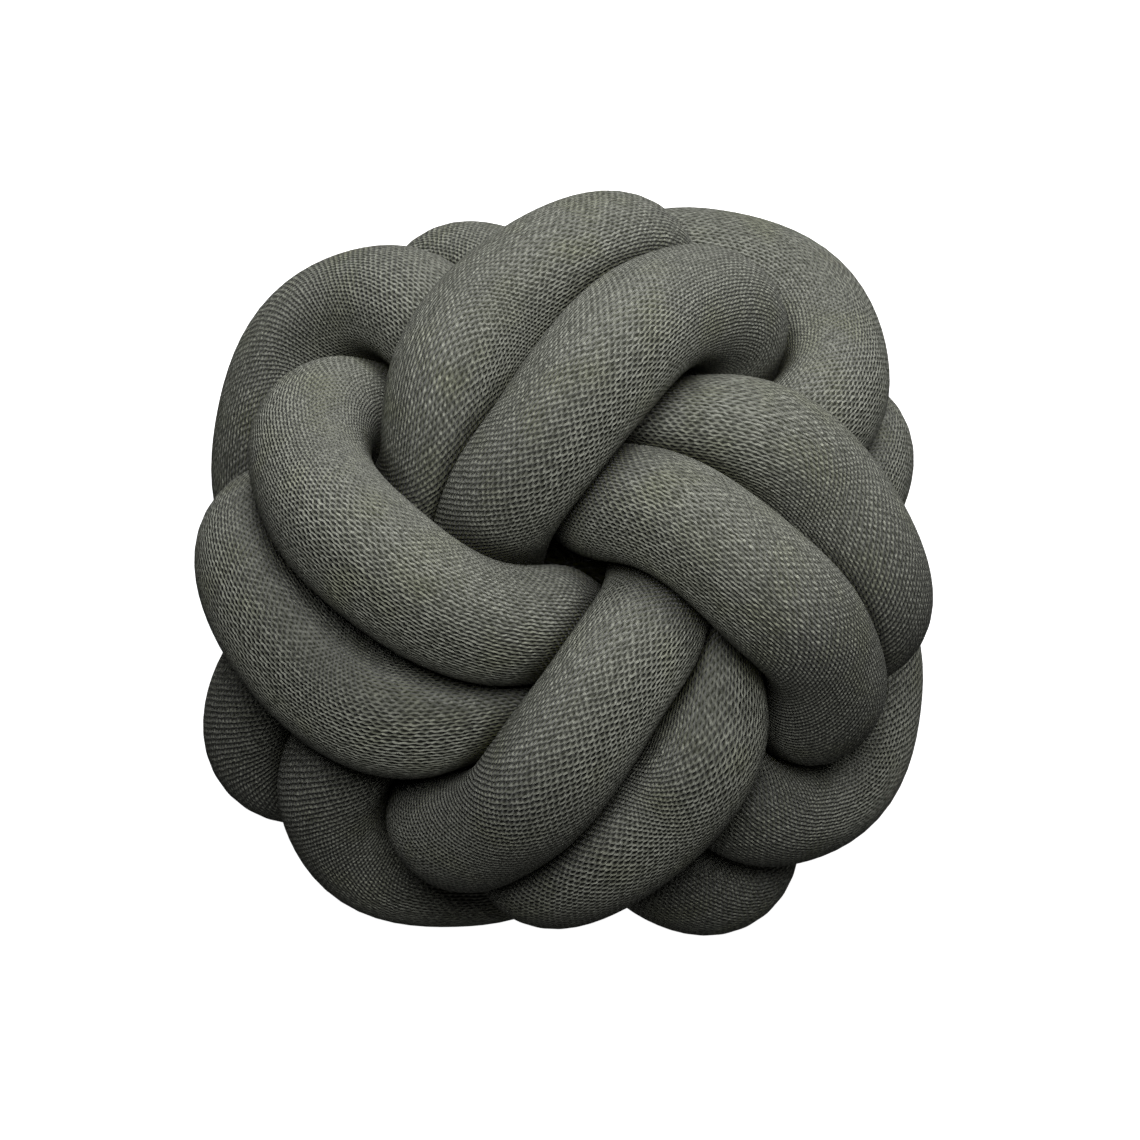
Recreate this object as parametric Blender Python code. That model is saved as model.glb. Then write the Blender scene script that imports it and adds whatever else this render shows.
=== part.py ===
"""A knot cushion: one long stuffed tube of knitted cloth, tied twice round into a ball.

The knot has three leads and four bights. From above, four arms go round like a pinwheel, each one
over the next, and the back has the same pinwheel turned over. The tube makes the whole round twice,
so every arm is a pair of strands, an inner one and an outer one. A pass is the tube's way over one
face: in from the rim, under a neighbouring arm, past the middle, over the next arm and down at the
rim again. A strand that is the inner one on the front is the outer one on the back, and the other
way round. Metres and degrees. The cushion lies on its back, and its front looks up along +Z.
"""
import math

import bpy
import numpy as np

MILLIMETRE = 0.001

# The stuffed tube
TUBE_RADIUS = 0.0270
TUBE_SIDES = 16
RINGS = 350
END_ROUNDING = 0.020
END_BLUNTNESS = 0.97
SOFT_END = 0.014

# How strands press on each other
STRAND_GAP = 0.0022
SQUASH_SOFTNESS = 7.0
CORE_SWELL = 2.4
SAME_STRAND = 0.085
RESTING_PRESS = 0.006

# How finely the tube's middle line is worked out, and then compared with itself
LINE_POINTS = 12000
PRESSING_POINTS = 1500
LEAST_FACING = 0.000001

# The knot's rounds
ARMS = 4
TURN_TO_NEXT_ARM = -270.0
TURN_TO_BACK = -135.0
INNER = 0
OUTER = 1
FRONT = 1
BACK = -1

# One pass from rim to rim, in even steps. For the inner and then the outer strand of the pair: its
# turn about the upright axis in degrees, its reach from that axis and its height over the ball's
# middle, both in millimetres.
PASS = (
    # inner turn, reach, height; outer turn, reach, height
    (122, 95, 19, 92, 82, 12),
    (116, 53, 28, 72, 67, 30),
    (82, 32, 59, 54, 69, 54),
    (33, 43, 90, 36, 89, 63),
    (-5, 79, 92, 21, 104, 53),
    (-17, 104, 60, 6, 117, 41),
    (-29, 114, 18, -7, 123, 9),
)
STEPS = len(PASS)

# The tied ball isn't even. Once, twice and three times round it swells and draws in, as a share of
# its reach, and its arms lead or lag, in degrees.
UNEVEN = (
    # times round, swell towards +X, swell towards +Y, lead towards +X, lead towards +Y
    (1, -0.043, 0.002, -3.2, -1.9),
    (2, 0.002, 0.011, 0.8, 1.2),
    (3, -0.005, -0.011, -0.8, -0.9),
)
CALM_MIDDLE = 0.0245
# Its weight spreads the back half out, most at this height.
BACK_SPREAD = 0.30
SPREAD_HEIGHT = -0.065
SPREAD_DEPTH = 0.036
# Where the inner strands come up from the back to the rim, two arms stand out and two are drawn in,
# as a share of their reach. The second tuple says how far each row of a pass follows.
RIM_SWELL = (0.03, 0.04, -0.08, -0.09)
RIM_FOLLOW = (0.0, 0.0, 0.0, 0.0, 0.5, 1.0, 1.0)

COLLECTION_NAME = "knot_cushion"
OBJECT_NAME = "knotted_tube"
KNIT_COLOUR = (0.075, 0.080, 0.068, 1.0)
KNIT_ROUGHNESS = 0.95


def clear_scene():
    for thing in list(bpy.data.objects):
        bpy.data.objects.remove(thing, do_unlink=True)


def pass_stations(strand, side, turned, rim_swell):
    """The stations of one strand of a pair, over the front or the back."""
    stations = []
    for row, follow in zip(PASS, RIM_FOLLOW):
        turn, reach, height = row[3 * strand:3 * strand + 3]
        angle = math.radians(turn + turned)
        swollen = reach * (1.0 + rim_swell * follow)
        stations.append((swollen * math.cos(angle), swollen * math.sin(angle), side * height))
    return stations


def round_stations(front_strand):
    """One closed round: a pass over the front and one over the back for each arm, in millimetres."""
    stations = []
    for arm in range(ARMS):
        turned = arm * TURN_TO_NEXT_ARM
        stations += pass_stations(front_strand, FRONT, turned, 0.0)
        if front_strand == INNER:
            stations += pass_stations(OUTER, BACK, turned + TURN_TO_BACK, 0.0)
        else:
            stations += pass_stations(INNER, BACK, turned + TURN_TO_BACK, RIM_SWELL[arm])
    return stations


def tube_stations():
    """Both rounds as one open line, in metres.

    The tube starts and ends under an arm at the back. There it also shifts from the first round's
    lane to the second's, by way of the middle between them.
    """
    first = round_stations(front_strand=INNER)
    second = round_stations(front_strand=OUTER)
    crossing = len(first) - STEPS + 1
    under_arm = first[crossing - 1:crossing + 1] + second[crossing:crossing + 2]
    shift = np.mean(under_arm, axis=0)
    first_round = first[crossing:] + first[:crossing]
    second_round = second[crossing + 1:] + second[:crossing + 1]
    return np.array(first_round + [tuple(shift)] + second_round) * MILLIMETRE


def smooth_line(stations, count):
    """A natural cubic spline through the stations."""
    last = len(stations) - 1
    system = np.eye(last + 1)
    bend = np.zeros_like(stations)
    for row in range(1, last):
        system[row, row - 1:row + 2] = (1.0, 4.0, 1.0)
        bend[row] = 6.0 * (stations[row + 1] - 2.0 * stations[row] + stations[row - 1])
    bend = np.linalg.solve(system, bend)
    at = np.linspace(0.0, last, count)
    cell = np.minimum(at.astype(int), last - 1)
    after = (at - cell)[:, None]
    before = 1.0 - after
    straight = before * stations[cell] + after * stations[cell + 1]
    curved = (before**3 - before) * bend[cell] + (after**3 - after) * bend[cell + 1]
    return straight + curved / 6.0


def made_uneven(line):
    """The line on the real, uneven ball, whose back half is spread out."""
    reach = np.hypot(line[:, 0], line[:, 1])
    angle = np.arctan2(line[:, 1], line[:, 0])
    height = line[:, 2]
    swell = BACK_SPREAD * np.exp(-((height - SPREAD_HEIGHT) / SPREAD_DEPTH)**2)
    lead = np.zeros_like(reach)
    for times, swell_x, swell_y, lead_x, lead_y in UNEVEN:
        swell += swell_x * np.cos(times * angle) + swell_y * np.sin(times * angle)
        lead += lead_x * np.cos(times * angle) + lead_y * np.sin(times * angle)
    away = reach**2 / (reach**2 + CALM_MIDDLE**2)
    reach = reach * (1.0 + swell * away)
    angle = angle + np.radians(lead) * away
    return np.stack([reach * np.cos(angle), reach * np.sin(angle), height], axis=1)


def even_steps(line, count):
    """Points at even lengths along the line, and those lengths."""
    steps = np.linalg.norm(np.diff(line, axis=0), axis=1)
    length = np.concatenate([[0.0], np.cumsum(steps)])
    at = np.linspace(0.0, length[-1], count)
    points = np.stack([np.interp(at, length, line[:, axis]) for axis in range(3)], axis=1)
    return points, at


def unit(vectors):
    return vectors / np.linalg.norm(vectors, axis=-1, keepdims=True)


def ring_rays(centres, sides):
    """Rays from each centre out round the tube, which don't twist along it."""
    along = unit(np.gradient(centres, axis=0))
    across = np.zeros_like(centres)
    start = np.cross(along[0], (0.0, 0.0, 1.0))
    for index, direction in enumerate(along):
        start = unit(start - direction * np.dot(start, direction))
        across[index] = start
    upward = np.cross(along, across)
    angle = np.linspace(0.0, 2.0 * math.pi, sides, endpoint=False)
    cosine = np.cos(angle)[None, :, None]
    sine = np.sin(angle)[None, :, None]
    return cosine * across[:, None] + sine * upward[:, None]


def ray_lengths(centres, at, rays, line, line_at):
    """How far the stuffing reaches along each ray.

    A free tube is round. Towards the core it swells into the space that is left there, and against
    another strand it stops half way, where the two press flat on each other. Only the firm part of
    the line presses, without the tube's soft ends.
    """
    middle = line.mean(axis=0)
    lengths = np.zeros(rays.shape[:2])
    for ring, centre in enumerate(centres):
        offset = line[np.abs(line_at - at[ring]) > SAME_STRAND] - centre
        distance = np.linalg.norm(offset, axis=1)
        towards = np.maximum(rays[ring] @ offset.T, LEAST_FACING)
        wall = np.min(distance * (distance - STRAND_GAP) / (2.0 * towards), axis=1)
        inward = np.maximum(0.0, -rays[ring] @ unit(centre - middle))
        free = TUBE_RADIUS * (1.0 + CORE_SWELL * inward**2)
        lengths[ring] = (free**-SQUASH_SOFTNESS + wall**-SQUASH_SOFTNESS)**(-1.0 / SQUASH_SOFTNESS)
    return lengths


def end_rounding(at):
    """The share of its full size that each ring has: the two hidden ends are drawn in round."""
    from_end = np.minimum(at - at[0], at[-1] - at)
    share = np.clip(1.0 - from_end / END_ROUNDING, 0.0, END_BLUNTNESS)
    return np.sqrt(1.0 - share**2)


def set_on_its_back(points):
    """Press the lowest stuffing flat on the surface, at height 0, and centre the box over it."""
    surface = points[:, 2].min() + RESTING_PRESS
    points[:, 2] = np.maximum(points[:, 2], surface) - surface
    points[:, :2] -= (points[:, :2].min(axis=0) + points[:, :2].max(axis=0)) / 2.0
    return points


def tube_faces():
    """Quads between neighbouring rings, and one face over each end."""
    faces = []
    for ring in range(RINGS - 1):
        for side in range(TUBE_SIDES):
            here = ring * TUBE_SIDES
            after = (side + 1) % TUBE_SIDES
            faces.append((here + side, here + after, here + TUBE_SIDES + after, here + TUBE_SIDES + side))
    last = (RINGS - 1) * TUBE_SIDES
    faces.append(tuple(range(TUBE_SIDES - 1, -1, -1)))
    faces.append(tuple(range(last, last + TUBE_SIDES)))
    return faces


def tube_mesh():
    line = made_uneven(smooth_line(tube_stations(), LINE_POINTS))
    line, line_at = even_steps(line, PRESSING_POINTS)
    centres, at = even_steps(line, RINGS)
    rays = ring_rays(centres, TUBE_SIDES)
    firm = np.minimum(line_at, line_at[-1] - line_at) > SOFT_END
    lengths = ray_lengths(centres, at, rays, line[firm], line_at[firm]) * end_rounding(at)[:, None]
    points = (centres[:, None] + rays * lengths[:, :, None]).reshape(-1, 3)
    mesh = bpy.data.meshes.new(OBJECT_NAME)
    mesh.from_pydata(set_on_its_back(points).tolist(), [], tube_faces())
    mesh.shade_smooth()
    return mesh


def knit_material():
    material = bpy.data.materials.new("knitted_cloth")
    material.use_nodes = True
    shader = material.node_tree.nodes["Principled BSDF"]
    shader.inputs["Base Color"].default_value = KNIT_COLOUR
    shader.inputs["Roughness"].default_value = KNIT_ROUGHNESS
    shader.inputs["Metallic"].default_value = 0.0
    return material


def main():
    clear_scene()
    collection = bpy.data.collections.new(COLLECTION_NAME)
    bpy.context.scene.collection.children.link(collection)
    mesh = tube_mesh()
    mesh.materials.append(knit_material())
    collection.objects.link(bpy.data.objects.new(OBJECT_NAME, mesh))


main()
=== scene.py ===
# %% [markdown]
# # A knot cushion in plain knitted cloth
#
# The real thing is one long knitted tube, filled with fibre and tied twice round into a ball. The
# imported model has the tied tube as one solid. This lesson dresses it: it makes the same tube again
# with finer rings, lays knitted rows along it, and lights it as a studio would for a catalogue.
# Lengths are in metres, unless a comment says otherwise. The front of the knot looks up along Z.

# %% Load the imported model
import math

import bpy
import numpy as np
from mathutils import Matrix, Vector


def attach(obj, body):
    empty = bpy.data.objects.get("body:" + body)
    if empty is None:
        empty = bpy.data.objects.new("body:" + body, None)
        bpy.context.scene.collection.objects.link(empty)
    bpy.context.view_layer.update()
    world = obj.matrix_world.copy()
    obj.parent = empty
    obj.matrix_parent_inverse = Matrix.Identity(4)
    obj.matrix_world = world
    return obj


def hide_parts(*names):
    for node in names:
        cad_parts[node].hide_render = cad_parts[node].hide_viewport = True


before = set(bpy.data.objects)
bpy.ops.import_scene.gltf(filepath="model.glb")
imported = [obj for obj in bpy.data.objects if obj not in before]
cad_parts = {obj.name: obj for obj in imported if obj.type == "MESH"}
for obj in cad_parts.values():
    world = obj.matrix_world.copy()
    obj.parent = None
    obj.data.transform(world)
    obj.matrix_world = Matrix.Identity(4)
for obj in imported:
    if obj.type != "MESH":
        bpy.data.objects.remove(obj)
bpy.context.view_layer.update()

# %% [markdown]
# ## One pass of the knot
#
# The knot has three leads and four bights. A pass is the tube's way over one face, from rim to rim.
# Each arm of the pinwheel is a pair of strands, so a row holds an inner and an outer strand: its
# turn in degrees, and its reach and height in millimetres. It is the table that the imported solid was
# made from. Points could be placed one by one along the whole tube instead, but every other pass is
# a turned copy of this one, which keeps the table short and the knot true.

# %% The table of a pass
MILLIMETRE = 0.001
PASS = (
    # inner turn, reach, height; outer turn, reach, height
    (122, 95, 19, 92, 82, 12),
    (116, 53, 28, 72, 67, 30),
    (82, 32, 59, 54, 69, 54),
    (33, 43, 90, 36, 89, 63),
    (-5, 79, 92, 21, 104, 53),
    (-17, 104, 60, 6, 117, 41),
    (-29, 114, 18, -7, 123, 9),
)
STEPS = len(PASS)
INNER, OUTER = 0, 1
FRONT, BACK = 1, -1
RIM_FOLLOW = (0.0, 0.0, 0.0, 0.0, 0.5, 1.0, 1.0)


def pass_stations(strand, side, turned, rim_swell):
    """One strand of a pair over the front or the back. Its rim end stands out by rim_swell."""
    stations = []
    for row, follow in zip(PASS, RIM_FOLLOW):
        turn, reach, height = row[3 * strand:3 * strand + 3]
        angle = math.radians(turn + turned)
        swollen = reach * (1.0 + rim_swell * follow)
        stations.append((swollen * math.cos(angle), swollen * math.sin(angle), side * height))
    return stations


print("stations in a pass:", len(pass_stations(INNER, FRONT, 0.0, 0.0)))

# %% [markdown]
# ## Both rounds
#
# Four passes over the front and four over the back close a round, and the tube makes two of them. A
# strand that is the inner one on the front is the outer one on the back, and the other way round.
# Where inner strands come up from the back, two arms stand out at the rim and two are drawn in. The
# tube's ends are hidden under an arm at the back, where it also shifts from one lane to the other.

# %% The stations of the whole tube
ARMS = 4
TURN_TO_NEXT_ARM = -270.0
TURN_TO_BACK = -135.0
RIM_SWELL = (0.03, 0.04, -0.08, -0.09)


def round_stations(front_strand):
    stations = []
    for arm in range(ARMS):
        turned = arm * TURN_TO_NEXT_ARM
        stations += pass_stations(front_strand, FRONT, turned, 0.0)
        if front_strand == INNER:
            stations += pass_stations(OUTER, BACK, turned + TURN_TO_BACK, 0.0)
        else:
            stations += pass_stations(INNER, BACK, turned + TURN_TO_BACK, RIM_SWELL[arm])
    return stations


def tube_stations():
    """Both rounds as one open line, which shifts lanes by way of the middle between them."""
    first = round_stations(INNER)
    second = round_stations(OUTER)
    crossing = len(first) - STEPS + 1
    shift = np.mean(first[crossing - 1:crossing + 1] + second[crossing:crossing + 2], axis=0)
    first_round = first[crossing:] + first[:crossing]
    second_round = second[crossing + 1:] + second[:crossing + 1]
    return np.array(first_round + [tuple(shift)] + second_round) * MILLIMETRE


stations = tube_stations()
print("stations along the tube:", len(stations))

# %% [markdown]
# ## The tube's middle line
#
# A natural cubic spline bends through the stations as an even rod would. It could be a Blender curve
# with a bevel, but a bevel can't be pressed flat where strands meet, so the rings come from numpy.

# %% A smooth line through the stations
LINE_POINTS = 12000


def smooth_line(stations, count):
    last = len(stations) - 1
    system = np.eye(last + 1)
    bend = np.zeros_like(stations)
    for row in range(1, last):
        system[row, row - 1:row + 2] = (1.0, 4.0, 1.0)
        bend[row] = 6.0 * (stations[row + 1] - 2.0 * stations[row] + stations[row - 1])
    bend = np.linalg.solve(system, bend)
    at = np.linspace(0.0, last, count)
    cell = np.minimum(at.astype(int), last - 1)
    after = (at - cell)[:, None]
    before = 1.0 - after
    straight = before * stations[cell] + after * stations[cell + 1]
    curved = (before**3 - before) * bend[cell] + (after**3 - after) * bend[cell + 1]
    return straight + curved / 6.0


even_line = smooth_line(stations, LINE_POINTS)
print("highest point of the middle line in mm:", round(1000 * even_line[:, 2].max(), 1))

# %% [markdown]
# ## A ball that isn't even
#
# A ball tied by hand swells here and draws in there. So a second table swells and turns it once,
# twice and three times round, and its own weight spreads the back half out. In the middle of the
# front the four strands leave a dark slot. It runs from the upper left to the lower right, because
# two of the strands are pulled closer there than the other two. Strands could be moved one by one,
# but a smooth change of the whole space keeps them from running into each other.

# %% Swell, lead, spread and slot
UNEVEN = (
    # times round, swell towards +X, swell towards +Y, lead towards +X, lead towards +Y
    (1, -0.043, 0.002, -3.2, -1.9),
    (2, 0.002, 0.011, 0.8, 1.2),
    (3, -0.005, -0.011, -0.8, -0.9),
)
CALM_MIDDLE = 0.0245
BACK_SPREAD = 0.30
SPREAD_HEIGHT = -0.065
SPREAD_DEPTH = 0.036
SLOT_REACH = 0.040
SLOT_TURN = 162.0
SLOT_STRETCH = 0.27
SLOT_LEAD = -16.0


def made_uneven(line):
    """The line on the uneven ball. Away from the slot, little changes within CALM_MIDDLE."""
    reach = np.hypot(line[:, 0], line[:, 1])
    angle = np.arctan2(line[:, 1], line[:, 0])
    height = line[:, 2]
    swell = BACK_SPREAD * np.exp(-((height - SPREAD_HEIGHT) / SPREAD_DEPTH)**2)
    lead = np.zeros_like(reach)
    for times, swell_x, swell_y, lead_x, lead_y in UNEVEN:
        swell += swell_x * np.cos(times * angle) + swell_y * np.sin(times * angle)
        lead += lead_x * np.cos(times * angle) + lead_y * np.sin(times * angle)
    away = reach**2 / (reach**2 + CALM_MIDDLE**2)
    beside_slot = np.exp(-(reach / SLOT_REACH)**2) * np.clip(height / SLOT_REACH, 0.0, 1.0)
    along_slot = np.cos(2.0 * (angle - math.radians(SLOT_TURN)))
    reach = reach * (1.0 + swell * away + SLOT_STRETCH * beside_slot * along_slot)
    angle = angle + np.radians(lead * away + SLOT_LEAD * beside_slot)
    return np.stack([reach * np.cos(angle), reach * np.sin(angle), height], axis=1)


uneven_line = made_uneven(even_line)
print("moved by up to, in mm:", round(1000 * np.abs(uneven_line - even_line).max(), 1))

# %% [markdown]
# ## Even steps along the tube
#
# A knitting machine makes every row as long as the last, so the tube's rings and rows must lie at
# even lengths. The spline's own points don't: they crowd where stations are close. So the line is
# measured and cut again.

# %% Cut the line into even steps
PRESSING_POINTS = 3000


def even_steps(line, count):
    """Points at even lengths along the line, and those lengths."""
    steps = np.linalg.norm(np.diff(line, axis=0), axis=1)
    length = np.concatenate([[0.0], np.cumsum(steps)])
    at = np.linspace(0.0, length[-1], count)
    points = np.stack([np.interp(at, length, line[:, axis]) for axis in range(3)], axis=1)
    return points, at


line, line_at = even_steps(uneven_line, PRESSING_POINTS)
print("tube length in m:", round(float(line_at[-1]), 3))

# %% [markdown]
# ## Rings with rays
#
# The skin of the tube is made of rings, and each ring is drawn by rays from the middle line. Every
# ring could start from one fixed direction, but the rings would spin where the tube points that way.
# So the rays are carried along the line without twist, as nobody wrings a tube while tying it.

# %% Rays round the tube
RINGS = 1000
SIDES = 96


def unit(vectors):
    return vectors / np.linalg.norm(vectors, axis=-1, keepdims=True)


def ring_rays(centres, sides):
    """Rays round the tube that don't twist along it, so that the knitted rows run straight."""
    along = unit(np.gradient(centres, axis=0))
    across = np.zeros_like(centres)
    start = np.cross(along[0], (0.0, 0.0, 1.0))
    for index, direction in enumerate(along):
        start = unit(start - direction * np.dot(start, direction))
        across[index] = start
    upward = np.cross(along, across)
    angle = np.linspace(0.0, 2.0 * math.pi, sides, endpoint=False)
    cosine = np.cos(angle)[None, :, None]
    sine = np.sin(angle)[None, :, None]
    return cosine * across[:, None] + sine * upward[:, None]


centres, centres_at = even_steps(line, RINGS)
rays = ring_rays(centres, SIDES)
print("rings, and rays in each:", rays.shape[0], rays.shape[1])

# %% [markdown]
# ## Walls that ease
#
# Cloth can't fold as sharply as two flat walls meet, so the walls between strands are averaged over
# a few neighbouring rays. The average is taken on one over the distance, because it then only ever
# draws a strand in and never pushes it into the next.

# %% An average over neighbours
WALL_EASE_ALONG = 1.8
WALL_EASE_AROUND = 2.6
BELL_REACH = 3


def bell_weights(spread):
    """The steps to the neighbours, and how much each of them counts."""
    furthest = round(BELL_REACH * spread)
    steps = np.arange(-furthest, furthest + 1)
    weights = np.exp(-0.5 * (steps / spread)**2)
    return steps, weights / weights.sum()


def evened(field, along, around):
    """A field over the tube, averaged along it and around it."""
    steps, weights = bell_weights(around)
    field = sum(weight * np.roll(field, step, axis=1) for step, weight in zip(steps, weights))
    steps, weights = bell_weights(along)
    padded = np.pad(field, ((steps[-1], steps[-1]), (0, 0)), mode="edge")
    return sum(weight * padded[at:at + len(field)] for at, weight in enumerate(weights))


print("neighbours in an average around the tube:", len(bell_weights(WALL_EASE_AROUND)[0]))

# %% [markdown]
# ## Stuffing that presses on itself
#
# A soft tube is round only where it is free. Where two strands meet they press flat on each other,
# halfway between their middle lines. A cloth simulation of a tied knot would need minutes and could
# slip, so each ray ends at the free radius, or at the halfway wall to another stretch of the line,
# with a soft blend between the two. In the back half the stuffing has nowhere to go but the core,
# so the free radius is larger there and no hollow is left. The strands overlap a little in it, where
# nobody sees it, so that no light comes through. Near the front none of this is done, which leaves
# the dark slot in the middle of the pinwheel.

# %% How far the stuffing reaches along each ray
TUBE_RADIUS = 0.0270
STRAND_GAP = 0.0005
SAME_STRAND = 0.085
SOFT_END = 0.014
SQUASH_SOFTNESS = 7.0
LEAST_FACING = 0.000001
CORE_SWELL = 2.4
CORE_DEPTH = 0.030
CORE_PACKING = 1.07
CORE_TAKEOVER = 3.0


def ray_lengths(centres, at, rays, line, line_at):
    """How far the stuffing reaches along each ray.

    A ring isn't pressed by its own stretch of tube, up to SAME_STRAND away along the line. The core
    counts for a ray that points inwards and ends in the back half, in full from CORE_DEPTH down.
    """
    middle = line.mean(axis=0)
    walls = np.zeros(rays.shape[:2])
    core = np.zeros(rays.shape[:2])
    for ring, centre in enumerate(centres):
        offset = line[np.abs(line_at - at[ring]) > SAME_STRAND] - centre
        distance = np.linalg.norm(offset, axis=1)
        towards = np.maximum(rays[ring] @ offset.T, LEAST_FACING)
        walls[ring] = np.min(distance * (distance - STRAND_GAP) / (2.0 * towards), axis=1)
        inward = np.maximum(0.0, -rays[ring] @ unit(centre - middle))
        tips = centre + TUBE_RADIUS * rays[ring]
        core[ring] = np.clip(-tips[:, 2] / CORE_DEPTH, 0.0, 1.0) * inward**2
    free = TUBE_RADIUS * (1.0 + CORE_SWELL * core)
    eased = 1.0 / evened(1.0 / walls, WALL_EASE_ALONG, WALL_EASE_AROUND)
    walls = eased + (walls * CORE_PACKING - eased) * np.clip(CORE_TAKEOVER * core, 0.0, 1.0)
    return (free**-SQUASH_SOFTNESS + walls**-SQUASH_SOFTNESS)**(-1.0 / SQUASH_SOFTNESS)


# The tube's soft ends press on nothing.
firm = np.minimum(line_at, line_at[-1] - line_at) > SOFT_END
lengths = ray_lengths(centres, centres_at, rays, line[firm], line_at[firm])
print("shortest and longest ray in mm:", (1000 * np.array([lengths.min(), lengths.max()])).round(1))

# %% [markdown]
# ## The hidden ends
#
# The real tube's ends are sewn or tucked in out of sight. Here they are drawn in round, under an arm
# at the back, so that the skin is closed without a sharp edge.

# %% Round the ends
END_ROUNDING = 0.020
END_BLUNTNESS = 0.97


def end_rounding(at):
    """The share of its full size that each ring has."""
    from_end = np.minimum(at - at[0], at[-1] - at)
    share = np.clip(1.0 - from_end / END_ROUNDING, 0.0, END_BLUNTNESS)
    return np.sqrt(1.0 - share**2)


lengths *= end_rounding(centres_at)[:, None]
points = (centres[:, None] + rays * lengths[:, :, None]).reshape(-1, 3)
print("first ring's radius in mm:", round(1000 * lengths[0].mean(), 1))

# %% [markdown]
# ## Resting on its back
#
# The cushion's weight presses its lowest strands flat on the surface, which is at height 0. Then the
# box is centred over it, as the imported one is.

# %% Press the back flat
RESTING_PRESS = 0.006
surface = points[:, 2].min() + RESTING_PRESS
points[:, 2] = np.maximum(points[:, 2], surface) - surface
knot_axis = -(points[:, :2].min(axis=0) + points[:, :2].max(axis=0)) / 2.0
points[:, :2] += knot_axis
print("box in mm:", (1000 * np.ptp(points, axis=0)).round(1))

# %% [markdown]
# ## The tube's skin
#
# Neighbouring rings are joined by quads, and one face closes each end. A subdivision surface would
# need fewer rings, but it would round off the places where strands press on each other.

# %% Build the mesh


def tube_faces(rings, sides):
    """Quads between neighbouring rings, with the ring and the side that each one starts at."""
    ring = np.repeat(np.arange(rings - 1), sides)
    side = np.tile(np.arange(sides), rings - 1)
    here = ring * sides + side
    beside = ring * sides + (side + 1) % sides
    quads = np.stack([here, beside, beside + sides, here + sides], axis=1)
    return quads, ring, side


quads, quad_ring, quad_side = tube_faces(RINGS, SIDES)
caps = [tuple(range(SIDES - 1, -1, -1)), tuple(range((RINGS - 1) * SIDES, RINGS * SIDES))]
mesh = bpy.data.meshes.new("knitted_tube")
mesh.from_pydata(points.tolist(), [], [tuple(quad) for quad in quads.tolist()] + caps)
mesh.shade_smooth()
tube = bpy.data.objects.new("knitted_tube", mesh)
bpy.context.scene.collection.objects.link(tube)
print("faces:", len(mesh.polygons))

# %% [markdown]
# ## Knitted rows on the skin
#
# A knitted tube has the same number of stitches all round, and its rows follow the tube's middle
# line. So the texture coordinates are rows along and stitches around. Where the tube bends, the
# rows then crowd together inside the bend and open out on its outside, as real rows do.

# %% Rows and stitches as texture coordinates
STITCH_WIDTH = 3.2 * MILLIMETRE
STITCH_HEIGHT = 2.55 * MILLIMETRE
WALES = round(2.0 * math.pi * TUBE_RADIUS / STITCH_WIDTH)
rows = centres_at / STITCH_HEIGHT
row_here, row_next = rows[quad_ring], rows[quad_ring + 1]
corner_rows = np.stack([row_here, row_here, row_next, row_next], axis=1)
corner_sides = np.stack([quad_side, quad_side + 1, quad_side + 1, quad_side], axis=1)
knit_map = np.zeros((len(mesh.loops), 2), np.float32)
knit_map[:quads.size, 0] = corner_rows.ravel()
knit_map[:quads.size, 1] = (corner_sides * (WALES / SIDES)).ravel()
mesh.uv_layers.new(name="knit_rows").data.foreach_set("uv", knit_map.ravel())
print("stitches round the tube:", WALES, "rows along it:", round(rows[-1]))

# %% [markdown]
# ## Colours and nodes
#
# Colours are written as sRGB hex values, as paint programs show them, and Blender's nodes want them
# linear. The other helper adds one node, sets it and links it.

# %% A colour helper and a node helper


def linear(hex_value):
    """An sRGB hex colour as linear red, green, blue and alpha."""
    parts = [int(hex_value[at:at + 2], 16) / 255.0 for at in (1, 3, 5)]
    return tuple(c / 12.92 if c <= 0.04045 else ((c + 0.055) / 1.055)**2.4 for c in parts) + (1.0,)


def add(tree, kind, inputs=None, **settings):
    """Adds a node. An input is a plain value, or the node or output that it is linked to."""
    node = tree.nodes.new(kind)
    for name, value in settings.items():
        setattr(node, name, value)
    for socket, source in (inputs or {}).items():
        if isinstance(source, bpy.types.Node):
            source = source.outputs[0]
        if isinstance(source, bpy.types.NodeSocket):
            tree.links.new(source, node.inputs[socket])
        else:
            node.inputs[socket].default_value = source
    return node


UNTINTED = linear("#ffffff")
print("white, linear:", UNTINTED)

# %% [markdown]
# ## Jersey knit in marled wool yarn
#
# The cloth is plain jersey, stretched tight over the stuffing. Each leg of a stitch is pulled from
# one junction to the next, so the yarn runs in zigzags and a dark oval hole opens between each two.
# Neighbouring columns of holes are half a row apart. That is about twenty thousand stitches a metre,
# too many to model, so the zigzags are worked out in the shader as a height, and bumped. The yarn is
# marled, which means that dark and pale fibres are spun together, so no two legs have quite the same
# grey.

# %% Wool, which is matt
# Wool scatters light, so its roughness is near 1 and the only gloss is a faint sheen of fibres.
knit = bpy.data.materials.new("jersey_knit_marled_wool")
knit.use_nodes = True
tree = knit.node_tree
shader = tree.nodes["Principled BSDF"]
shader.inputs["Roughness"].default_value = 0.95
shader.inputs["Specular IOR Level"].default_value = 0.15
shader.inputs["Sheen Weight"].default_value = 0.15
shader.inputs["Sheen Roughness"].default_value = 0.5
print("finish:", knit.name)

# %% [markdown]
# ## Where a point lies in its stitch
#
# A stitch is two columns of holes wide, so twice the stitch count is the column count, and every
# second column is half a row on. No stitch is quite like the next, so a soft noise first pushes each
# point a little out of place. It could be a picture of knit, tiled, but a picture repeats itself and
# blurs up close.

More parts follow.
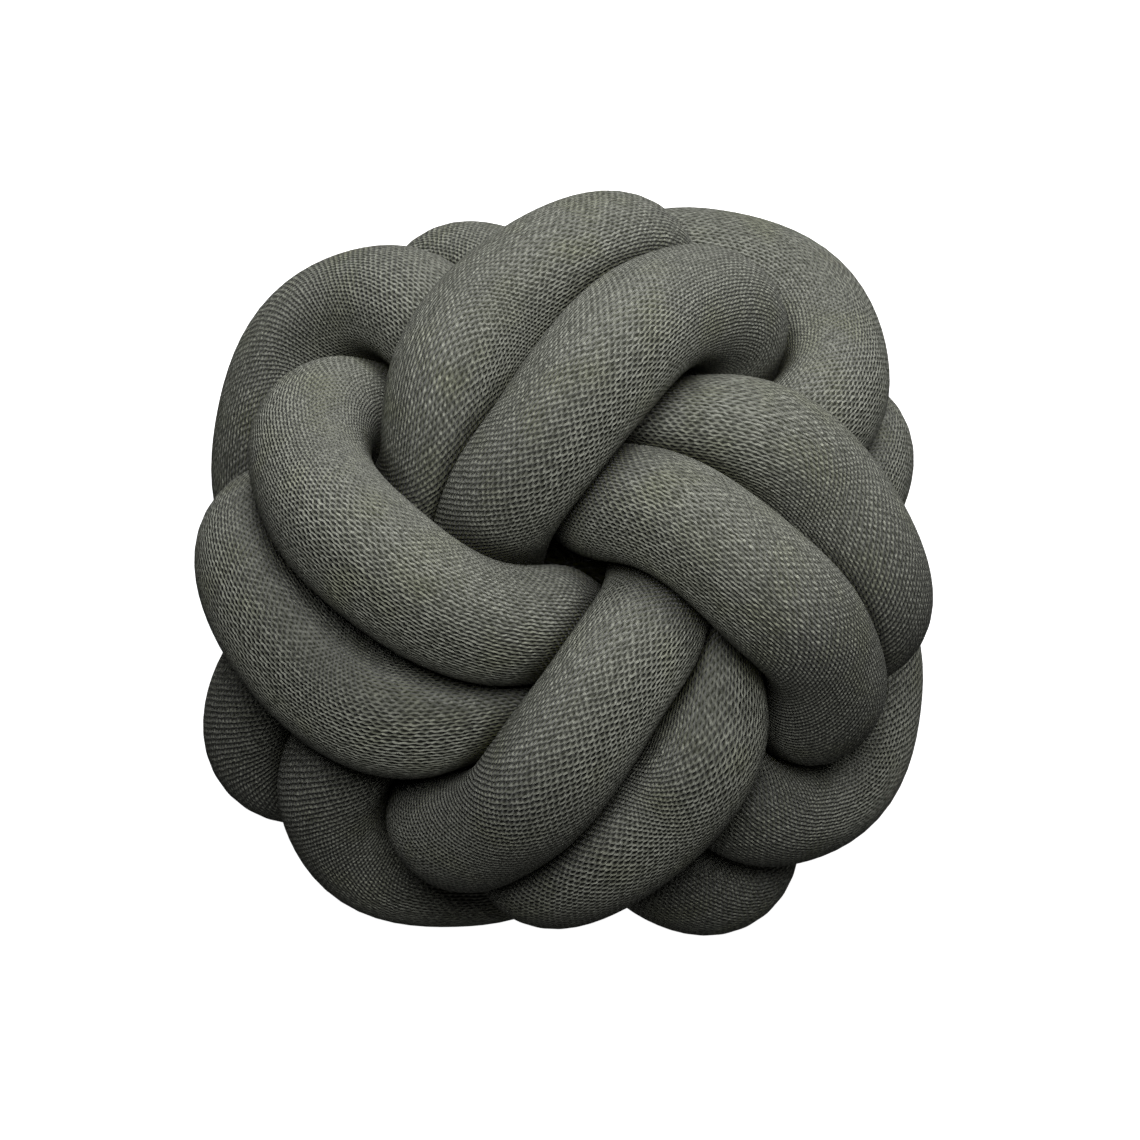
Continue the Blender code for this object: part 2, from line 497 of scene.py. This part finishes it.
# %% Column and row
UNEVEN_STITCH = 0.4
PUSHES_PER_STITCH = 0.8
NO_PUSH = (0.5, 0.5, 0.5)
FULL_PUSH = (UNEVEN_STITCH, UNEVEN_STITCH, 0.0)
COLUMNS_PER_STITCH = 2.0
ROW_STAGGER = 0.5
uv = add(tree, "ShaderNodeUVMap", uv_map="knit_rows")
push = add(
    tree, "ShaderNodeTexNoise", {"Vector": uv, "Scale": PUSHES_PER_STITCH, "Detail": 1.0})
centred = add(
    tree, "ShaderNodeVectorMath", {0: push.outputs["Color"], 1: NO_PUSH}, operation="SUBTRACT")
pushed = add(
    tree, "ShaderNodeVectorMath", {0: centred, 1: FULL_PUSH, 2: uv}, operation="MULTIPLY_ADD")
split = add(tree, "ShaderNodeSeparateXYZ", {0: pushed})
column_at = add(
    tree, "ShaderNodeMath", {0: split.outputs["Y"], 1: COLUMNS_PER_STITCH}, operation="MULTIPLY")
column = add(tree, "ShaderNodeMath", {0: column_at}, operation="ROUND")
from_middle = add(tree, "ShaderNodeMath", {0: column_at, 1: column}, operation="SUBTRACT")
row_at = add(
    tree, "ShaderNodeMath", {0: column, 1: ROW_STAGGER, 2: split.outputs["X"]},
    operation="MULTIPLY_ADD")
print("a hole every", round(1000 * STITCH_HEIGHT, 2), "mm along")
print("and every", round(1000 * STITCH_WIDTH / COLUMNS_PER_STITCH, 2), "mm across")

# %% [markdown]
# ## The yarn's height
#
# The yarn on either side of a column swings away from its holes and comes back between them. Its
# section is a soft bell. One leg of each stitch lies over its neighbours, so it is lifted: under
# raking light the knit then shows as chains of short slanted dashes, and under frontal light as rows
# of small holes.

# %% Two zigzag yarns beside each column
BETWEEN_COLUMNS = 0.5
YARN_HALF_WIDTH = 0.33
ZIGZAG = 0.12
LEG_LIFT = 0.40
turn_in_row = add(tree, "ShaderNodeMath", {0: row_at, 1: 2.0 * math.pi}, operation="MULTIPLY")
cosine = add(tree, "ShaderNodeMath", {0: turn_in_row}, operation="COSINE")
sine = add(tree, "ShaderNodeMath", {0: turn_in_row}, operation="SINE")
yarn_away = add(
    tree, "ShaderNodeMath", {0: cosine, 1: -ZIGZAG, 2: BETWEEN_COLUMNS}, operation="MULTIPLY_ADD")
lift = add(tree, "ShaderNodeMath", {0: sine, 1: LEG_LIFT}, operation="MULTIPLY")
legs = []
for side, other_side in (("SUBTRACT", "ADD"), ("ADD", "SUBTRACT")):
    off = add(tree, "ShaderNodeMath", {0: from_middle, 1: yarn_away}, operation=side)
    share = add(tree, "ShaderNodeMath", {0: off, 1: YARN_HALF_WIDTH}, operation="DIVIDE")
    squared = add(tree, "ShaderNodeMath", {0: share, 1: share}, operation="MULTIPLY")
    bell = add(tree, "ShaderNodeMath", {0: math.exp(-1.0), 1: squared}, operation="POWER")
    lifted = add(tree, "ShaderNodeMath", {0: 1.0, 1: lift}, operation=other_side)
    legs.append(add(tree, "ShaderNodeMath", {0: bell, 1: lifted}, operation="MULTIPLY"))
even_height = add(tree, "ShaderNodeMath", {0: legs[0], 1: legs[1]}, operation="ADD")
print("nodes so far:", len(tree.nodes))

# %% [markdown]
# ## Marl
#
# Every leg gets its own mix of the two yarn greys, from white noise on the leg's own number, with
# finer fibres in it. A pale leg is also a little fuller than a dark one. One noise over the whole
# tube would be simpler, but its spots would run across several legs, and real marl changes from leg
# to leg.

# %% The marled yarn
# A Mix node takes numbers in sockets 2 and 3 and colours in 6 and 7. Its output 2 is the colour.
YARN_PALE = linear("#adafa2")
YARN_DARK = linear("#53554a")
LEGS_PER_ROW = 2.0
FIBRES_PER_STITCH = 5.0
FIBRE_SHARE = 0.25
LEG_UNEVEN = 0.4
LEAST_FULL = 1.0 - LEG_UNEVEN / 2.0
leg_at = add(tree, "ShaderNodeMath", {0: row_at, 1: LEGS_PER_ROW}, operation="MULTIPLY")
leg = add(tree, "ShaderNodeMath", {0: leg_at}, operation="FLOOR")
which_side = add(tree, "ShaderNodeMath", {0: from_middle}, operation="SIGN")
leg_name = add(tree, "ShaderNodeCombineXYZ", {"X": column, "Y": leg, "Z": which_side})
marl = add(tree, "ShaderNodeTexWhiteNoise", {"Vector": leg_name}, noise_dimensions="3D")
fibres = add(
    tree, "ShaderNodeTexNoise", {"Vector": uv, "Scale": FIBRES_PER_STITCH, "Detail": 2.0})
mixed = add(tree, "ShaderNodeMix", {0: FIBRE_SHARE, 2: marl.outputs["Value"], 3: fibres})
yarn = add(tree, "ShaderNodeMix", {0: mixed, 6: YARN_DARK, 7: YARN_PALE}, data_type="RGBA")
fullness = add(
    tree, "ShaderNodeMath", {0: mixed, 1: LEG_UNEVEN, 2: LEAST_FULL}, operation="MULTIPLY_ADD")
height = add(tree, "ShaderNodeMath", {0: even_height, 1: fullness}, operation="MULTIPLY")
print("dark and pale yarn, linear green:", round(YARN_DARK[1], 3), round(YARN_PALE[1], 3))

# %% [markdown]
# ## Holes
#
# Between the yarns one looks into the shade under them. Bump alone can't make it, because it casts
# no shade, so the colour goes over from that shade to the yarn's grey as the height rises. The holes
# then stay dark from any side.

# %% The shade between yarns
BETWEEN_YARNS = linear("#2c2d22")
HOLE_FLOOR = 0.04
HOLE_EDGE = 0.36
depth = add(
    tree, "ShaderNodeMapRange", {"Value": height, "From Min": HOLE_FLOOR, "From Max": HOLE_EDGE},
    interpolation_type="SMOOTHSTEP")
grey_cloth = add(
    tree, "ShaderNodeMix", {0: depth, 6: BETWEEN_YARNS, 7: yarn.outputs[2]}, data_type="RGBA")
print("shade between yarns, linear green:", round(BETWEEN_YARNS[1], 3))

# %% [markdown]
# ## Olive patches
#
# The dye didn't take evenly: here and there a patch as wide as a finger is a little more olive. The
# noise for it is laid in space and not along the tube, so a patch runs on across the rows.

# %% A faint uneven dye
OLIVE_DYE = linear("#fbfcef")
PATCHES_PER_METRE = 45.0
PATCH_RIM = 0.52
PATCH_MIDDLE = 0.75
place = add(tree, "ShaderNodeTexCoord")
patches = add(
    tree, "ShaderNodeTexNoise",
    {"Vector": place.outputs["Object"], "Scale": PATCHES_PER_METRE, "Detail": 1.0})
dyed = add(
    tree, "ShaderNodeMapRange", {"Value": patches, "From Min": PATCH_RIM, "From Max": PATCH_MIDDLE})
dye = add(tree, "ShaderNodeMix", {0: dyed, 6: UNTINTED, 7: OLIVE_DYE}, data_type="RGBA")
cloth = add(
    tree, "ShaderNodeMix", {0: 1.0, 6: grey_cloth.outputs[2], 7: dye.outputs[2]},
    data_type="RGBA", blend_type="MULTIPLY")
print("olive patches about every", round(1000 / PATCHES_PER_METRE), "mm")

# %% [markdown]
# ## Painted shade in creases
#
# Where strands press together, the crease is painted a dark olive. This is painted shade, multiplied
# into the cloth's colour. The ambient occlusion node finds such places by their shape alone, with no
# light in it. It could be painted on the points instead, but their spacing is too wide for it. Deep in
# the knot, which only shows through the slot, the same painted shade is laid by the distance from the
# knot's middle, so the slot stays black.

# %% Painted crease shade
# Painted shade: a dark olive multiplied into the cloth where the occlusion node finds a crease, and
# near the knot's middle.
PAINTED_CREASE_SHADE = linear("#5a5b14")
CREASE_REACH = 12.0 * MILLIMETRE
CREASE_FLOOR = 0.12
CREASE_EDGE = 0.75
CORE_REACH = 45.0 * MILLIMETRE
OUT_OF_CORE = 70.0 * MILLIMETRE
knot_middle = (knot_axis[0], knot_axis[1], -surface)
crease = add(
    tree, "ShaderNodeAmbientOcclusion", {"Distance": CREASE_REACH}, samples=8, only_local=True)
open_to_air = add(
    tree, "ShaderNodeMapRange",
    {"Value": crease.outputs["AO"], "From Min": CREASE_FLOOR, "From Max": CREASE_EDGE})
from_core = add(
    tree, "ShaderNodeVectorMath", {0: place.outputs["Object"], 1: knot_middle},
    operation="DISTANCE")
outside = add(
    tree, "ShaderNodeMapRange",
    {"Value": from_core.outputs["Value"], "From Min": CORE_REACH, "From Max": OUT_OF_CORE})
openness = add(tree, "ShaderNodeMath", {0: open_to_air, 1: outside}, operation="MULTIPLY")
# The painted shade is mixed here and multiplied into the cloth's colour.
shade = add(tree, "ShaderNodeMix", {0: openness, 6: PAINTED_CREASE_SHADE, 7: UNTINTED}, data_type="RGBA")
cloth_with_painted_shade = add(
    tree, "ShaderNodeMix", {0: 1.0, 6: cloth.outputs[2], 7: shade.outputs[2]},
    data_type="RGBA", blend_type="MULTIPLY")
print("height of the knot's middle in mm:", round(1000 * knot_middle[2], 1))

# %% [markdown]
# ## Relief
#
# The height drives a bump, which tilts the light on each leg without adding a point. Displacement
# would give the stitches a true outline too, but it would need millions of points.

# %% Bump, and the finished knit
STITCH_RELIEF = 1.6 * MILLIMETRE
relief = add(
    tree, "ShaderNodeBump", {"Height": height, "Strength": 1.0, "Distance": STITCH_RELIEF})
tree.links.new(cloth_with_painted_shade.outputs[2], shader.inputs["Base Color"])
tree.links.new(relief.outputs[0], shader.inputs["Normal"])
mesh.materials.append(knit)
print("nodes in the knit:", len(tree.nodes))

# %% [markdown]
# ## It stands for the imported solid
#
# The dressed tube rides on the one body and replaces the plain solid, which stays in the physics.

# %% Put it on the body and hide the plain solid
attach(tube, "root")
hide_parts("knotted_tube")
print("dressed piece:", tube.name)

# %% [markdown]
# ## A pale floor
#
# The photograph is a catalogue picture on white, where no shadow shows. Such pictures are taken on a
# lit white table, so the floor glows. Its glow goes straight to the camera: if it lit the cushion
# too, the picture's lower strands wouldn't fall off into the dark as they do.

# %% The floor
# Matt paper hardly mirrors the lamps, so it looks the same from all sides.
FLOOR_SIZE = 40.0
half = FLOOR_SIZE / 2.0
corners = [(-half, -half, 0.0), (half, -half, 0.0), (half, half, 0.0), (-half, half, 0.0)]
floor_mesh = bpy.data.meshes.new("floor")
floor_mesh.from_pydata(corners, [], [(0, 1, 2, 3)])
floor = bpy.data.objects.new("floor", floor_mesh)
bpy.context.scene.collection.objects.link(floor)
paper = bpy.data.materials.new("matt_paper_white_on_a_light_table")
paper.use_nodes = True
paper_shader = paper.node_tree.nodes["Principled BSDF"]
paper_shader.inputs["Base Color"].default_value = linear("#f4f4f2")
paper_shader.inputs["Roughness"].default_value = 0.9
paper_shader.inputs["Emission Color"].default_value = UNTINTED
paper_shader.inputs["Emission Strength"].default_value = 1.0
floor_mesh.materials.append(paper)
floor.visible_diffuse = False
floor.visible_glossy = False
floor.visible_shadow = False
print("floor side in m:", FLOOR_SIZE)

# %% [markdown]
# ## A pale backdrop
#
# Seen from the side, the cushion lies before a pale grey backdrop. A dome of even light could do
# all the lighting with one node, but it flattens the strands, so this backdrop gives no light.

# %% The backdrop
world = bpy.data.worlds.new("studio")
bpy.context.scene.world = world
world.use_nodes = True
background = world.node_tree.nodes["Background"]
background.inputs["Color"].default_value = linear("#e6e6e4")
background.inputs["Strength"].default_value = 1.0
world.cycles_visibility.diffuse = False
world.cycles_visibility.glossy = False
print("backdrop, linear green:", round(background.inputs["Color"].default_value[1], 3))

# %% [markdown]
# ## Soft boxes
#
# The main light is just over the camera, one is at the upper right, one low at the top rakes over
# the strands, and a weak one is at the lower right. The size of a box sets how soft the shade is
# that one strand throws on the next, and its watts were matched to the photograph's greys.

# %% The lights
LIGHT_DISTANCE = 2.5
BOX_SIZE = 1.3
AIM = Vector((0.0, 0.0, 0.1))
SOFT_BOXES = (
    # name, turn about the cushion and rise over the floor in degrees, watts
    ("over_the_camera", 90.0, 75.0, 45.5),
    ("at_the_upper_right", 60.0, 30.0, 26.0),
    ("low_at_the_top", 90.0, 5.0, 30.0),
    ("weak_at_the_lower_right", 315.0, 5.0, 1.0),
)


def soft_box(name, turn, rise, watts):
    """A round soft box at LIGHT_DISTANCE, which is turned towards the cushion."""
    turn = math.radians(turn)
    rise = math.radians(rise)
    flat = LIGHT_DISTANCE * math.cos(rise)
    away = Vector((flat * math.cos(turn), flat * math.sin(turn), LIGHT_DISTANCE * math.sin(rise)))
    light = bpy.data.lights.new(name, "AREA")
    light.shape = "DISK"
    light.size = BOX_SIZE
    light.energy = watts
    lamp = bpy.data.objects.new(name, light)
    lamp.location = AIM + away
    lamp.rotation_mode = "QUATERNION"
    lamp.rotation_quaternion = (-away).to_track_quat("-Z", "Y")
    bpy.context.scene.collection.objects.link(lamp)
    return lamp


for name, turn, rise, watts in SOFT_BOXES:
    lamp = soft_box(name, turn, rise, watts)
    print(name, "at", [round(part, 2) for part in lamp.location])

# %% [markdown]
# ## The lit table
#
# A little of the table's light does reach the cushion from below. Without it the sides near the
# floor would be black, and with more of it the front would lose its dark creases.

# %% The glow under the paper
TABLE_GLOW = 1.6
TABLE_SIZE = 2.4
UNDER_THE_PAPER = -0.02
glow = soft_box("glow_of_the_light_table", 0.0, -90.0, TABLE_GLOW)
glow.location = (0.0, 0.0, UNDER_THE_PAPER)
glow.data.size = TABLE_SIZE
print("glow in watts:", TABLE_GLOW)

# %% [markdown]
# ## The camera
#
# The photograph looks straight down on the front of the knot from far away, so the strands hardly
# shrink with distance. A very long lens gives the same flat view, and an orthographic camera would
# be flatter still. The knot's axis is put where the photograph has it.

# %% Place the camera
PHOTO_SIDE = 1140
MM_PER_PIXEL = 0.40816
AXIS_PIXEL = (578.1, 562.3)
CAMERA_DISTANCE = 12.0
SENSOR = 36.0
scale = MM_PER_PIXEL * MILLIMETRE
camera_data = bpy.data.cameras.new("camera")
camera_data.sensor_width = SENSOR
camera_data.lens = SENSOR * CAMERA_DISTANCE / (PHOTO_SIDE * scale)
camera = bpy.data.objects.new("camera", camera_data)
middle_height = float(points[:, 2].max()) / 2.0
camera.location = (
    knot_axis[0] + (PHOTO_SIDE / 2.0 - AXIS_PIXEL[0]) * scale,
    knot_axis[1] - (PHOTO_SIDE / 2.0 - AXIS_PIXEL[1]) * scale,
    middle_height + CAMERA_DISTANCE,
)
bpy.context.scene.collection.objects.link(camera)
bpy.context.scene.camera = camera
bpy.context.scene.view_settings.view_transform = "Standard"
print("lens in mm:", round(camera_data.lens), "knot's axis in mm:", (1000 * knot_axis).round(1))
